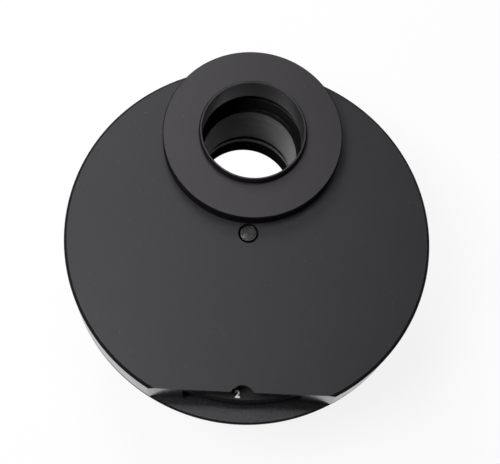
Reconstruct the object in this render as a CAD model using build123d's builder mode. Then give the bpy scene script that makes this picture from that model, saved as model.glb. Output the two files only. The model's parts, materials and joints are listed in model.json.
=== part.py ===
"""Hand-turned wheel for five 2-inch optical filters, with a 2-inch barrel at its back.

Millimetres. The origin is on the optical axis at the barrel's shoulder. +Z runs along
that axis towards the camera thread, and the carousel's spin axis stands on the -Y side.
"""

import os
from math import cos, radians, sin

from build123d import *

os.makedirs("parts", exist_ok=True)

# ---------------------------------------------------------------- driving dimensions
# Places across the optical axis
CELL_COUNT = 5
PITCH_RADIUS = 44.4  # spin axis to the middle of each filter cell and of the port

# Casing
CASING_RADIUS = 80.0
CASING_INNER_RADIUS = 74.0
CASING_DEPTH = 23.5
FACE_THICKNESS = 3.0
FACE_CHAMFER = 1.3
REAR_PLATE_THICKNESS = 3.5
REAR_PLATE_CHAMFER = 0.6
CHORD_DISTANCE = 69.7  # spin axis to the straight cut over the thumb window
CHORD_CHAMFER = 0.3
PORT_RADIUS = 26.0

# Half-round notch in the chord, over the cell numbers
NOTCH_RADIUS = 5.5
NOTCH_DISTANCE = 72.2

# Front flange and its camera thread, M48 x 0.75
FRONT_FLANGE_RADIUS = 39.9
FRONT_FLANGE_HEIGHT = 7.4
FRONT_FLANGE_BORE = 22.55
FRONT_SPIGOT_DEPTH = 2.7
COLLAR_RADIUS = 24.0
COLLAR_HEIGHT = 3.5
COLLAR_LIP_RADIUS = 22.8
COLLAR_CHAMFER = 0.6

# Rear flange and the 2-inch barrel that screws into it
REAR_FLANGE_RADIUS = 36.0
REAR_FLANGE_HEIGHT = 7.4
BARREL_THREAD_RADIUS = 24.0
BARREL_RADIUS = 25.4
BARREL_LENGTH = 41.0
BARREL_BORE = 21.9
BARREL_RISE = 0.75  # how far the barrel's thread stands into the casing
FILTER_THREAD_RADIUS = 23.6
FILTER_THREAD_LENGTH = 16.5
RELIEF_RADIUS = 24.3  # clear of the thread's tool, from the thread in to the bore
RELIEF_LENGTH = 7.4
UNDERCUT_DEPTH = 0.8
UNDERCUT_NEAR = 7.0  # shoulder to the near edge of the safety undercut
UNDERCUT_LENGTH = 10.0

# Carousel
CAROUSEL_RADIUS = 72.0
CAROUSEL_THICKNESS = 8.0
CAROUSEL_DROP = 9.0  # casing face to the carousel's upper face
RIM_CHAMFER = 0.5
CELL_SEAT_RADIUS = 25.6
CELL_SEAT_DEPTH = 1.4
CELL_THREAD_RADIUS = 24.0
CELL_LIP_RADIUS = 22.9
CELL_LIP_HEIGHT = 0.4
CELL_LIP_SLOPE = CELL_THREAD_RADIUS - CELL_LIP_RADIUS  # its upper side is a 45-degree cone
CELL_ENTRY_CHAMFER = 0.4

# Axle stack
AXLE_RADIUS = 4.0
AXLE_END_RADIUS = 3.54
AXLE_RECESS_RADIUS = 4.5
AXLE_RECESS_DEPTH = 1.5
BOSS_RADIUS = 9.0
BUSH_RADIUS = 6.0
WASHER_RADIUS = 8.0
WASHER_THICKNESS = 0.5
BUSH_PROUD = 0.25  # how far the bush stands out of the carousel at each face
CIRCLIP_THICKNESS = 0.6
CIRCLIP_RADIUS = 6.0
CIRCLIP_GAP = 4.4
GROOVE_RADIUS = 3.3
DISC_SPRING_RADIUS = 7.4
DISC_SPRING_STEEL = 0.35
DISC_SPRING_HEIGHT = 0.6

# Click stop: a leaf spring in a pocket of the wall, and V notches in the rim
DETENT_ANGLE = 162.0
DETENT_POCKET_DISTANCE = 76.0
DETENT_POCKET_LENGTH = 26.0
DETENT_POCKET_HEIGHT = 8.0
LEAF_STEEL = 0.4
LEAF_WIDTH = 5.0
LEAF_NOSE_REACH = 71.4  # spin axis to the tip of the leaf's nose
LEAF_SCREWS_ACROSS = (-10.5, -6.5)  # tangential places of its screws, from the notch
LEAF_BEND_ACROSS = -3.8  # where it leaves the pocket's floor
LEAF_BEND_RADIUS = 0.9
LEAF_NOSE_CORNER = 0.5  # the nose's bend stops this short of its corner
LEAF_TAIL_DISTANCE = 74.6
LEAF_TAIL_ACROSS = 3.4
RIM_NOTCH_DEPTH = 1.2
RIM_NOTCH_HALF_WIDTH = 1.8

# Fasteners
M3_SHANK_RADIUS = 1.45
M3_HEAD_RADIUS = 2.8
M3_SOCKET = 2.0
M3_LENGTH = 8.0
M3_TAPPED_RADIUS = 1.5
M3_CLEAR_RADIUS = 1.7
M4_SHANK_RADIUS = 1.95
M4_HEAD_RADIUS = 3.8
M4_SOCKET = 2.5
M4_LENGTH = 8.0
M4_TAPPED_RADIUS = 2.0
M4_CLEAR_RADIUS = 2.2
M2_SHANK_RADIUS = 0.95
M2_HEAD_RADIUS = 1.8
M2_HEAD_HEIGHT = 0.9
M2_LENGTH = 3.0
HEAD_EDGE = 0.25
HEAD_ROOM = HEAD_EDGE + 0.05  # how much wider a countersink is than the head in it
GRUB_SOCKET = 1.5
GRUB_LENGTH = 8.0
PIN_RADIUS = 1.5
PIN_LENGTH = 7.0
WALL_SCREW_RADIUS = 77.0
WALL_SCREW_ANGLES = (0, 60, 120, 180, 228, 312)
PIN_ANGLES = (150, 330)
FLANGE_SCREW_RADIUS = 31.0
FLANGE_SCREW_ANGLES = (45, 135, 225, 315)
GRUB_ANGLES = (90, 210, 330)

SLIP = 0.05  # gap all round a part that slides or screws into another
EDGE = 0.4  # broken edge on the turned parts

# ---------------------------------------------------------------- worked-out levels
REAR_PLATE_BACK = REAR_FLANGE_HEIGHT
FLOOR = REAR_PLATE_BACK + REAR_PLATE_THICKNESS
FACE = REAR_PLATE_BACK + CASING_DEPTH
CEILING = FACE - FACE_THICKNESS
FRONT_FLANGE_TOP = FACE + FRONT_FLANGE_HEIGHT
COLLAR_TIP = FRONT_FLANGE_TOP + COLLAR_HEIGHT
THREAD_TOP = -BARREL_LENGTH + FILTER_THREAD_LENGTH
CAROUSEL_TOP = FACE - CAROUSEL_DROP
CAROUSEL_BOTTOM = CAROUSEL_TOP - CAROUSEL_THICKNESS
CAROUSEL_MIDDLE = (CAROUSEL_TOP + CAROUSEL_BOTTOM) / 2
BUSH_TOP = CAROUSEL_TOP + BUSH_PROUD
BUSH_BOTTOM = CAROUSEL_BOTTOM - BUSH_PROUD
BOSS_END = BUSH_TOP + SLIP + WASHER_THICKNESS
REAR_WASHER_BOTTOM = BUSH_BOTTOM - SLIP - WASHER_THICKNESS
CIRCLIP_TOP = REAR_WASHER_BOTTOM - DISC_SPRING_HEIGHT
CIRCLIP_BOTTOM = CIRCLIP_TOP - CIRCLIP_THICKNESS

spin_centre = (0, -PITCH_RADIUS)
spin_axis = Axis((0, -PITCH_RADIUS, 0), (0, 0, 1))
spin_section = Plane.XZ.offset(PITCH_RADIUS)  # radius to the right, height up
port_section = Plane.XZ


def around(centre, radius, angles):
    """Points on a circle of the XY plane, one for each angle."""
    return [
        (centre[0] + radius * cos(radians(angle)), centre[1] + radius * sin(radians(angle)))
        for angle in angles
    ]


def looking_up(points, height):
    """Places whose screws and holes go down from the given height."""
    return [Location((x, y, height)) for x, y in points]


def looking_down(points, height):
    """Places whose screws and holes go up from the given height."""
    return [Location((x, y, height), (180, 0, 0)) for x, y in points]


def radial_plane(centre, angle, height):
    """Plane on an axis at the given height that looks outwards along the angle."""
    outwards = (cos(radians(angle)), sin(radians(angle)), 0)
    sideways = (-sin(radians(angle)), cos(radians(angle)), 0)
    return Plane(origin=(*centre, height), x_dir=sideways, z_dir=outwards)


wall_screw_points = around(spin_centre, WALL_SCREW_RADIUS, WALL_SCREW_ANGLES)
pin_points = around(spin_centre, WALL_SCREW_RADIUS, PIN_ANGLES)
flange_screw_points = around((0, 0), FLANGE_SCREW_RADIUS, FLANGE_SCREW_ANGLES)

# Level plane on the spin axis whose X runs out through the click stop
detent_plane = Plane(
    origin=(*spin_centre, CAROUSEL_MIDDLE),
    x_dir=(cos(radians(DETENT_ANGLE)), sin(radians(DETENT_ANGLE)), 0),
    z_dir=(0, 0, 1),
)
# Places on the pocket's floor where the leaf's screws go in, outwards from the axis
leaf_screw_places = [
    Plane(
        origin=detent_plane.from_local_coords((DETENT_POCKET_DISTANCE, across, 0)),
        x_dir=detent_plane.y_dir,
        z_dir=-detent_plane.x_dir,
    ).location
    for across in LEAF_SCREWS_ACROSS
]


# ---------------------------------------------------------------- fasteners
def countersunk_screw(shank_radius, head_radius, length, socket):
    """Flat-topped socket screw, its head's face at the origin and its shank down -Z."""
    cone_end = HEAD_EDGE + head_radius - shank_radius
    with BuildPart() as screw:
        with BuildSketch(Plane.XZ):
            with BuildLine():
                Polyline(
                    (0, 0),
                    (head_radius, 0),
                    (head_radius, -HEAD_EDGE),
                    (shank_radius, -cone_end),
                    (shank_radius, -length + EDGE),
                    (shank_radius - EDGE, -length),
                    (0, -length),
                    close=True,
                )
            make_face()
        revolve(axis=Axis.Z)
        with BuildSketch():
            RegularPolygon(radius=socket / 2, side_count=6, major_radius=False)
        extrude(amount=-socket / 2, mode=Mode.SUBTRACT)
    return screw.part


def grub_screw(shank_radius, length, socket):
    """Headless socket screw, its socket end at the origin and its tip down -Z."""
    with BuildPart() as screw:
        with BuildSketch():
            Circle(shank_radius)
        extrude(amount=-length)
        chamfer(screw.edges().filter_by(GeomType.CIRCLE), length=EDGE)
        with BuildSketch():
            RegularPolygon(radius=socket / 2, side_count=6, major_radius=False)
        extrude(amount=-socket, mode=Mode.SUBTRACT)
    return screw.part


def cheese_head_screw(shank_radius, head_radius, head_height, length):
    """Slotted screw, the underside of its head at the origin and its shank down -Z."""
    with BuildPart() as screw:
        Cylinder(head_radius, head_height, align=(Align.CENTER, Align.CENTER, Align.MIN))
        Cylinder(shank_radius, length, align=(Align.CENTER, Align.CENTER, Align.MAX))
        with Locations((0, 0, head_height)):
            Box(2 * head_radius, head_radius / 4, head_height, mode=Mode.SUBTRACT)
    return screw.part


m3_screw = countersunk_screw(M3_SHANK_RADIUS, M3_HEAD_RADIUS, M3_LENGTH, M3_SOCKET)
m4_screw = countersunk_screw(M4_SHANK_RADIUS, M4_HEAD_RADIUS, M4_LENGTH, M4_SOCKET)
m3_grub = grub_screw(M3_SHANK_RADIUS, GRUB_LENGTH, GRUB_SOCKET)
m2_screw = cheese_head_screw(M2_SHANK_RADIUS, M2_HEAD_RADIUS, M2_HEAD_HEIGHT, M2_LENGTH)

# ---------------------------------------------------------------- front housing
# One cup: the face and the side wall, open at the back and cut along a chord.
with BuildPart() as front_housing:
    with BuildSketch(spin_section):
        with BuildLine():
            Polyline(
                (0, FACE),
                (CASING_RADIUS - FACE_CHAMFER, FACE),
                (CASING_RADIUS, FACE - FACE_CHAMFER),
                (CASING_RADIUS, FLOOR),
                (CASING_INNER_RADIUS, FLOOR),
                (CASING_INNER_RADIUS, CEILING),
                (BOSS_RADIUS, CEILING),
                (BOSS_RADIUS, BOSS_END),
                (0, BOSS_END),
                close=True,
            )
        make_face()
    revolve(axis=spin_axis)

    # Straight cut over the thumb window, with the half-round reading notch in it
    with BuildSketch(Plane.XY.offset(FLOOR)):
        with Locations((0, -PITCH_RADIUS - CHORD_DISTANCE)):
            Rectangle(2 * CASING_RADIUS, CASING_RADIUS, align=(Align.CENTER, Align.MAX))
        with Locations((0, -PITCH_RADIUS - NOTCH_DISTANCE)):
            Circle(NOTCH_RADIUS)
    extrude(until=Until.LAST, mode=Mode.SUBTRACT)
    cut_edges = front_housing.faces().sort_by(Axis.Z)[-1].edges()
    chamfer(cut_edges.sort_by(Axis.Y)[0:3], length=CHORD_CHAMFER)

    # Port for the front flange's spigot, and the screws that hold the flange from inside
    with Locations((0, 0, FACE)):
        Hole(PORT_RADIUS, depth=FACE_THICKNESS)
    with Locations(*looking_down(flange_screw_points, CEILING)):
        CounterSinkHole(M3_CLEAR_RADIUS, M3_HEAD_RADIUS + HEAD_ROOM, depth=FACE_THICKNESS)

    # Axle seat, open to the face in a shallow round recess
    with Locations((*spin_centre, FACE)):
        CounterBoreHole(AXLE_END_RADIUS + SLIP, AXLE_RECESS_RADIUS, AXLE_RECESS_DEPTH)

    # Tapped holes and pin holes in the foot of the wall
    with Locations(*looking_down(wall_screw_points, FLOOR)):
        Hole(M3_TAPPED_RADIUS, depth=M3_LENGTH)
    with Locations(*looking_down(pin_points, FLOOR)):
        Hole(PIN_RADIUS + SLIP, depth=PIN_LENGTH)

    # Pocket for the click-stop leaf, with two tapped holes in its flat floor
    with BuildSketch(radial_plane(spin_centre, DETENT_ANGLE, CAROUSEL_MIDDLE)):
        Rectangle(DETENT_POCKET_LENGTH, DETENT_POCKET_HEIGHT)
    extrude(amount=DETENT_POCKET_DISTANCE, mode=Mode.SUBTRACT)
    with Locations(*leaf_screw_places):
        Hole(M2_SHANK_RADIUS + SLIP, depth=M2_LENGTH)
front_housing.part.label = "front_housing"
export_step(front_housing.part, "parts/front_housing.step")

# ---------------------------------------------------------------- rear plate
with BuildPart() as rear_plate:
    with BuildSketch(Plane.XY.offset(REAR_PLATE_BACK)):
        with Locations(spin_centre):
            Circle(CASING_RADIUS)
    extrude(amount=REAR_PLATE_THICKNESS)
    chamfer(rear_plate.edges().filter_by(GeomType.CIRCLE), length=REAR_PLATE_CHAMFER)
    with Locations((0, 0, FLOOR)):
        Hole(PORT_RADIUS, depth=REAR_PLATE_THICKNESS)
    with Locations(*looking_up(flange_screw_points, FLOOR)):
        CounterSinkHole(M3_CLEAR_RADIUS, M3_HEAD_RADIUS + HEAD_ROOM, depth=REAR_PLATE_THICKNESS)
    with Locations(*looking_down(wall_screw_points, REAR_PLATE_BACK)):
        CounterSinkHole(M3_CLEAR_RADIUS, M3_HEAD_RADIUS + HEAD_ROOM, depth=REAR_PLATE_THICKNESS)
    with Locations(*looking_down([spin_centre], REAR_PLATE_BACK)):
        CounterSinkHole(M4_CLEAR_RADIUS, M4_HEAD_RADIUS + HEAD_ROOM, depth=REAR_PLATE_THICKNESS)
    with Locations(*looking_down(pin_points, REAR_PLATE_BACK)):
        Hole(PIN_RADIUS + SLIP, depth=REAR_PLATE_THICKNESS)
rear_plate.part.label = "rear_plate"
export_step(rear_plate.part, "parts/rear_plate.step")

with BuildPart() as rear_plate_screws:
    with Locations(*looking_down(wall_screw_points, REAR_PLATE_BACK)):
        add(m3_screw)
rear_plate_screws.part.label = "rear_plate_screws"
export_step(rear_plate_screws.part, "parts/rear_plate_screws.step")

with BuildPart() as locating_pins:
    with BuildSketch(Plane.XY.offset(REAR_PLATE_BACK)):
        with Locations(*pin_points):
            Circle(PIN_RADIUS)
    extrude(amount=PIN_LENGTH)
    chamfer(locating_pins.edges().filter_by(GeomType.CIRCLE), length=EDGE)
locating_pins.part.label = "locating_pins"
export_step(locating_pins.part, "parts/locating_pins.step")

# ---------------------------------------------------------------- front flange
# Turned in one piece: spigot, flange and the male camera thread with its chamfered tip.
with BuildPart() as front_adapter:
    with BuildSketch(port_section):
        with BuildLine():
            Polyline(
                (FRONT_FLANGE_BORE, FACE - FRONT_SPIGOT_DEPTH),
                (PORT_RADIUS - SLIP, FACE - FRONT_SPIGOT_DEPTH),
                (PORT_RADIUS - SLIP, FACE),
                (FRONT_FLANGE_RADIUS, FACE),
                (FRONT_FLANGE_RADIUS, FRONT_FLANGE_TOP - EDGE),
                (FRONT_FLANGE_RADIUS - EDGE, FRONT_FLANGE_TOP),
                (COLLAR_RADIUS, FRONT_FLANGE_TOP),
                (COLLAR_RADIUS, COLLAR_TIP - COLLAR_CHAMFER),
                (COLLAR_RADIUS - COLLAR_CHAMFER, COLLAR_TIP),
                (COLLAR_LIP_RADIUS, COLLAR_TIP),
                (FRONT_FLANGE_BORE, COLLAR_TIP + FRONT_FLANGE_BORE - COLLAR_LIP_RADIUS),
                close=True,
            )
        make_face()
    revolve(axis=Axis.Z)
    with Locations(*looking_down(flange_screw_points, FACE)):
        Hole(M3_TAPPED_RADIUS, depth=M3_LENGTH - FACE_THICKNESS + EDGE)
front_adapter.part.label = "front_adapter"
export_step(front_adapter.part, "parts/front_adapter.step")

with BuildPart() as front_adapter_screws:
    with Locations(*looking_down(flange_screw_points, CEILING)):
        add(m3_screw)
front_adapter_screws.part.label = "front_adapter_screws"
export_step(front_adapter_screws.part, "parts/front_adapter_screws.step")

# ---------------------------------------------------------------- rear flange
with BuildPart() as rear_adapter:
    with BuildSketch(port_section):
        with BuildLine():
            Polyline(
                (BARREL_THREAD_RADIUS, EDGE),
                (BARREL_THREAD_RADIUS + EDGE, 0),
                (REAR_FLANGE_RADIUS - EDGE, 0),
                (REAR_FLANGE_RADIUS, EDGE),
                (REAR_FLANGE_RADIUS, REAR_PLATE_BACK),
                (PORT_RADIUS - SLIP, REAR_PLATE_BACK),
                (PORT_RADIUS - SLIP, FLOOR),
                (BARREL_THREAD_RADIUS, FLOOR),
                close=True,
            )
        make_face()
    revolve(axis=Axis.Z)
    with Locations(*looking_up(flange_screw_points, REAR_PLATE_BACK)):
        Hole(M3_TAPPED_RADIUS, depth=M3_LENGTH - REAR_PLATE_THICKNESS + EDGE)
    for angle in GRUB_ANGLES:
        with BuildSketch(radial_plane((0, 0), angle, REAR_FLANGE_HEIGHT / 2)):
            Circle(M3_TAPPED_RADIUS)
        extrude(amount=2 * REAR_FLANGE_RADIUS, mode=Mode.SUBTRACT)
rear_adapter.part.label = "rear_adapter"
export_step(rear_adapter.part, "parts/rear_adapter.step")

with BuildPart() as rear_adapter_screws:
    with Locations(*looking_up(flange_screw_points, FLOOR)):
        add(m3_screw)
rear_adapter_screws.part.label = "rear_adapter_screws"
export_step(rear_adapter_screws.part, "parts/rear_adapter_screws.step")

# Three grub screws lock the barrel's thread, their tips against it
grub_places = [
    (radial_plane((0, 0), angle, REAR_FLANGE_HEIGHT / 2)
     .offset(BARREL_THREAD_RADIUS + GRUB_LENGTH).location)
    for angle in GRUB_ANGLES
]
with BuildPart() as barrel_grub_screws:
    with Locations(*grub_places):
        add(m3_grub)
barrel_grub_screws.part.label = "barrel_grub_screws"
export_step(barrel_grub_screws.part, "parts/barrel_grub_screws.step")

# ---------------------------------------------------------------- 2-inch barrel
with BuildPart() as nosepiece:
    with BuildSketch(port_section):
        with BuildLine():
            Polyline(
                (BARREL_BORE, FLOOR + BARREL_RISE),
                (BARREL_THREAD_RADIUS - SLIP - EDGE, FLOOR + BARREL_RISE),
                (BARREL_THREAD_RADIUS - SLIP, FLOOR + BARREL_RISE - EDGE),
                (BARREL_THREAD_RADIUS - SLIP, 0),
                (BARREL_RADIUS, 0),
                (BARREL_RADIUS, -UNDERCUT_NEAR),
                (BARREL_RADIUS - UNDERCUT_DEPTH, -UNDERCUT_NEAR - UNDERCUT_DEPTH),
                (BARREL_RADIUS - UNDERCUT_DEPTH,
                 -UNDERCUT_NEAR - UNDERCUT_LENGTH + UNDERCUT_DEPTH),
                (BARREL_RADIUS, -UNDERCUT_NEAR - UNDERCUT_LENGTH),
                (BARREL_RADIUS, -BARREL_LENGTH + EDGE),
                (BARREL_RADIUS - EDGE, -BARREL_LENGTH),
                (FILTER_THREAD_RADIUS + EDGE, -BARREL_LENGTH),
                (FILTER_THREAD_RADIUS, -BARREL_LENGTH + EDGE),
                (FILTER_THREAD_RADIUS, THREAD_TOP),
                (RELIEF_RADIUS, THREAD_TOP),
                (RELIEF_RADIUS, THREAD_TOP + RELIEF_LENGTH),
                (BARREL_BORE, THREAD_TOP + RELIEF_LENGTH),
                close=True,
            )
        make_face()
    revolve(axis=Axis.Z)
nosepiece.part.label = "nosepiece"
export_step(nosepiece.part, "parts/nosepiece.step")

# ---------------------------------------------------------------- carousel
# The space of one filter cell: a wide seat for the filter's ring, the thread, and a
# sloped lip below, from the carousel's upper face down.
with BuildPart() as cell_space:
    with BuildSketch(Plane.XZ):
        with BuildLine():
            Polyline(
                (0, 0),
                (CELL_SEAT_RADIUS, 0),
                (CELL_SEAT_RADIUS, -CELL_SEAT_DEPTH),
                (CELL_THREAD_RADIUS + CELL_ENTRY_CHAMFER, -CELL_SEAT_DEPTH),
                (CELL_THREAD_RADIUS, -CELL_SEAT_DEPTH - CELL_ENTRY_CHAMFER),
                (CELL_THREAD_RADIUS, -CAROUSEL_THICKNESS + CELL_LIP_HEIGHT + CELL_LIP_SLOPE),
                (CELL_LIP_RADIUS, -CAROUSEL_THICKNESS + CELL_LIP_HEIGHT),
                (CELL_LIP_RADIUS, -CAROUSEL_THICKNESS),
                (0, -CAROUSEL_THICKNESS),
                close=True,
            )
        make_face()
    revolve(axis=Axis.Z)

with BuildPart() as carousel:
    with BuildSketch(Plane.XY.offset(CAROUSEL_BOTTOM)):
        with Locations(spin_centre):
            Circle(CAROUSEL_RADIUS)
            # V notches in the rim, one beside each cell, for the click stop
            with PolarLocations(CAROUSEL_RADIUS - RIM_NOTCH_DEPTH, CELL_COUNT, 90):
                Polygon(
                    (0, 0),
                    (2 * RIM_NOTCH_DEPTH, 2 * RIM_NOTCH_HALF_WIDTH),
                    (2 * RIM_NOTCH_DEPTH, -2 * RIM_NOTCH_HALF_WIDTH),
                    align=None,
                    mode=Mode.SUBTRACT,
                )
    extrude(amount=CAROUSEL_THICKNESS)
    rims = carousel.edges().filter_by(GeomType.CIRCLE)
    chamfer(rims, length=RIM_CHAMFER)
    with Locations((*spin_centre, CAROUSEL_TOP)):
        with PolarLocations(PITCH_RADIUS, CELL_COUNT, 90):
            add(cell_space.part, mode=Mode.SUBTRACT)
        Hole(BUSH_RADIUS, depth=CAROUSEL_THICKNESS)
carousel.part.label = "carousel"
export_step(carousel.part, "parts/carousel.step")

with BuildPart() as carousel_bush:
    with BuildSketch(spin_section):
        with BuildLine():
            Polyline(
                (AXLE_RADIUS + SLIP, BUSH_BOTTOM),
                (BUSH_RADIUS - BUSH_PROUD, BUSH_BOTTOM),
                (BUSH_RADIUS, CAROUSEL_BOTTOM),
                (BUSH_RADIUS, CAROUSEL_TOP),
                (BUSH_RADIUS - BUSH_PROUD, BUSH_TOP),
                (AXLE_RADIUS + SLIP, BUSH_TOP),
                close=True,
            )
        make_face()
    revolve(axis=spin_axis)
carousel_bush.part.label = "carousel_bush"
export_step(carousel_bush.part, "parts/carousel_bush.step")

# ---------------------------------------------------------------- axle and its stack
with BuildPart() as axle:
    with BuildSketch(spin_section):
        with BuildLine():
            Polyline(
                (0, FACE),
                (AXLE_END_RADIUS, FACE),
                (AXLE_END_RADIUS, BOSS_END),
                (AXLE_RADIUS, BOSS_END),
                (AXLE_RADIUS, CIRCLIP_TOP),
                (GROOVE_RADIUS - SLIP, CIRCLIP_TOP),
                (GROOVE_RADIUS - SLIP, CIRCLIP_BOTTOM - SLIP),
                (AXLE_RADIUS, CIRCLIP_BOTTOM - SLIP),
                (AXLE_RADIUS, FLOOR),
                (0, FLOOR),
                close=True,
            )
        make_face()
    revolve(axis=spin_axis)
    with Locations(*looking_down([spin_centre], FLOOR)):
        Hole(M4_TAPPED_RADIUS, depth=M4_LENGTH)
axle.part.label = "axle"
export_step(axle.part, "parts/axle.step")

with BuildPart() as axle_screw:
    with Locations(*looking_down([spin_centre], REAR_PLATE_BACK)):
        add(m4_screw)
axle_screw.part.label = "axle_screw"
export_step(axle_screw.part, "parts/axle_screw.step")

with BuildPart() as front_thrust_washer:
    with BuildSketch(Plane.XY.offset(BOSS_END - WASHER_THICKNESS)):
        with Locations(spin_centre):
            Circle(WASHER_RADIUS)
            Circle(AXLE_RADIUS + SLIP, mode=Mode.SUBTRACT)
    extrude(amount=WASHER_THICKNESS)
front_thrust_washer.part.label = "front_thrust_washer"
export_step(front_thrust_washer.part, "parts/front_thrust_washer.step")

with BuildPart() as rear_thrust_washer:
    with BuildSketch(Plane.XY.offset(REAR_WASHER_BOTTOM)):
        with Locations(spin_centre):
            Circle(WASHER_RADIUS)
            Circle(AXLE_RADIUS + SLIP, mode=Mode.SUBTRACT)
    extrude(amount=WASHER_THICKNESS)
rear_thrust_washer.part.label = "rear_thrust_washer"
export_step(rear_thrust_washer.part, "parts/rear_thrust_washer.step")

# Coned disc spring: its inner edge on the clip, its outer edge against the washer
with BuildPart() as disc_spring:
    with BuildSketch(spin_section):
        with BuildLine():
            Polyline(
                (AXLE_RADIUS + SLIP, CIRCLIP_TOP),
                (DISC_SPRING_RADIUS, REAR_WASHER_BOTTOM - DISC_SPRING_STEEL),
                (DISC_SPRING_RADIUS, REAR_WASHER_BOTTOM),
                (AXLE_RADIUS + SLIP, CIRCLIP_TOP + DISC_SPRING_STEEL),
                close=True,
            )
        make_face()
    revolve(axis=spin_axis)
disc_spring.part.label = "disc_spring"
export_step(disc_spring.part, "parts/disc_spring.step")

with BuildPart() as axle_circlip:
    with BuildSketch(Plane.XY.offset(CIRCLIP_BOTTOM)):
        with Locations(spin_centre):
            Circle(CIRCLIP_RADIUS)
            Circle(GROOVE_RADIUS, mode=Mode.SUBTRACT)
            Rectangle(
                CIRCLIP_GAP, CIRCLIP_RADIUS,
                align=(Align.CENTER, Align.MAX), mode=Mode.SUBTRACT,
            )
    extrude(amount=CIRCLIP_THICKNESS)
axle_circlip.part.label = "axle_circlip"
export_step(axle_circlip.part, "parts/axle_circlip.step")

# ---------------------------------------------------------------- click stop
# Strip bent to a nose: flat on the pocket's floor, down to the rim notch and back out.
with BuildPart() as detent_spring:
    with BuildSketch(detent_plane.offset(-LEAF_WIDTH / 2)):
        with BuildLine() as strip:
            FilletPolyline(
                (DETENT_POCKET_DISTANCE - LEAF_STEEL / 2, -DETENT_POCKET_LENGTH / 2 + EDGE),
                (DETENT_POCKET_DISTANCE - LEAF_STEEL / 2, LEAF_BEND_ACROSS),
                (LEAF_NOSE_REACH + LEAF_STEEL / 2 - LEAF_NOSE_CORNER, 0),
                (LEAF_TAIL_DISTANCE, LEAF_TAIL_ACROSS),
                radius=LEAF_BEND_RADIUS,
            )
        trace(strip.line, line_width=LEAF_STEEL)
    extrude(amount=LEAF_WIDTH)
    with Locations(*leaf_screw_places):
        Hole(M2_SHANK_RADIUS + SLIP, depth=2 * LEAF_STEEL)
detent_spring.part.label = "detent_spring"
export_step(detent_spring.part, "parts/detent_spring.step")

with BuildPart() as detent_spring_screws:
    with Locations(*leaf_screw_places):
        with Locations((0, 0, LEAF_STEEL)):
            add(m2_screw)
detent_spring_screws.part.label = "detent_spring_screws"
export_step(detent_spring_screws.part, "parts/detent_spring_screws.step")
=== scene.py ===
"""Looks of a hand-turned wheel for five 2-inch optical filters.

Everything is black anodised aluminium: a finely blasted casing, turned flanges and barrel,
and a matt carousel with white numbers. Sizes are in millimetres until a mesh is made.
"""
import json
import math

import bmesh
import bpy
from mathutils import Matrix, Vector


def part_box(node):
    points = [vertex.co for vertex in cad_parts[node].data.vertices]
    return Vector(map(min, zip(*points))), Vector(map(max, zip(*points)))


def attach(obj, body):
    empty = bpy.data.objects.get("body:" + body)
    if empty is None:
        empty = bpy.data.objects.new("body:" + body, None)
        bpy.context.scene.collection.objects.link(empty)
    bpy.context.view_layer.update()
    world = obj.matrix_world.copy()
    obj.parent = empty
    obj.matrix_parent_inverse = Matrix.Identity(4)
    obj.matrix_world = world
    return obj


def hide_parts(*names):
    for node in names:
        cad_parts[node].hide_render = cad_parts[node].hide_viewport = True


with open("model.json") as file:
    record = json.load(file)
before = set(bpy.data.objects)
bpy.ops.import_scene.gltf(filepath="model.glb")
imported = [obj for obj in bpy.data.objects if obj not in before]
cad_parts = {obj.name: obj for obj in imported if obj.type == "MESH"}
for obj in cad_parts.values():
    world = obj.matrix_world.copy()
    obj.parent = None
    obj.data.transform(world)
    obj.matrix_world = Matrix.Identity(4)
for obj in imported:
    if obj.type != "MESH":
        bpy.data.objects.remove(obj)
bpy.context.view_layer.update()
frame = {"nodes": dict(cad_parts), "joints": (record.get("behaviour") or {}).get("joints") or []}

MM = 0.001


def low(node, axis):
    """Lowest place of a node along an axis, in mm."""
    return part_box(node)[0]["xyz".index(axis)] / MM


def high(node, axis):
    """Highest place of a node along an axis, in mm."""
    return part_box(node)[1]["xyz".index(axis)] / MM


# ------------------------------------------------------------------ places and levels
PORT = (0.0, 0.0)
SPIN = (0.0, frame["joints"][0]["pos_m"][1] / MM)
PITCH_RADIUS = -SPIN[1]
CELLS = 5
CELL_STEP = 360 / CELLS
PORT_ANGLE = 90  # where the port lies as seen from the spin axis, in degrees
WINDOW_ANGLE = 270
CELL_ANGLES = [PORT_ANGLE + CELL_STEP * k for k in range(CELLS)]

FACE = high("front_housing", "z")
FLOOR = low("front_housing", "z")
CEILING = low("front_adapter_screws", "z")
PLATE_BACK = low("rear_plate", "z")
BOSS_END = high("front_thrust_washer", "z")
AXLE_FOOT = low("axle", "z")
COLLAR_TIP = high("front_adapter", "z")
SPIGOT_FOOT = low("front_adapter", "z")
BARREL_END = low("nosepiece", "z")
BARREL_TOP = high("nosepiece", "z")
CAROUSEL_TOP = high("carousel", "z")
CAROUSEL_BOTTOM = low("carousel", "z")

# ------------------------------------------------------------------ radii and steps
CASING_RADIUS = high("rear_plate", "x")
CASING_INNER_RADIUS = 74.0
FACE_CHAMFER = 1.3
PLATE_CHAMFER = 0.6
CHORD_Y = low("front_housing", "y")
NOTCH_RADIUS = 5.5
NOTCH_Y = SPIN[1] - 72.2
PORT_RADIUS = 26.0
BOSS_RADIUS = high("front_thrust_washer", "x") + 1.0
AXLE_RECESS_RADIUS = 4.5
AXLE_RECESS_DEPTH = 1.5
AXLE_RECESS_LIP = 0.3  # straight part of the recess, over its cone
AXLE_END_RADIUS = 3.54
AXLE_RADIUS = high("axle", "x")
AXLE_THREAD_RADIUS = 2.0
AXLE_THREAD_DEPTH = 8.0
GROOVE_RADIUS = 3.25
GROOVE_TOP = 12.5
GROOVE_BOTTOM = 11.85
POCKET_ANGLE = 162  # the click stop's pocket in the casing's wall
POCKET_INSET = 5.0
POCKET_SIZE = (14.0, 26.0)

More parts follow.
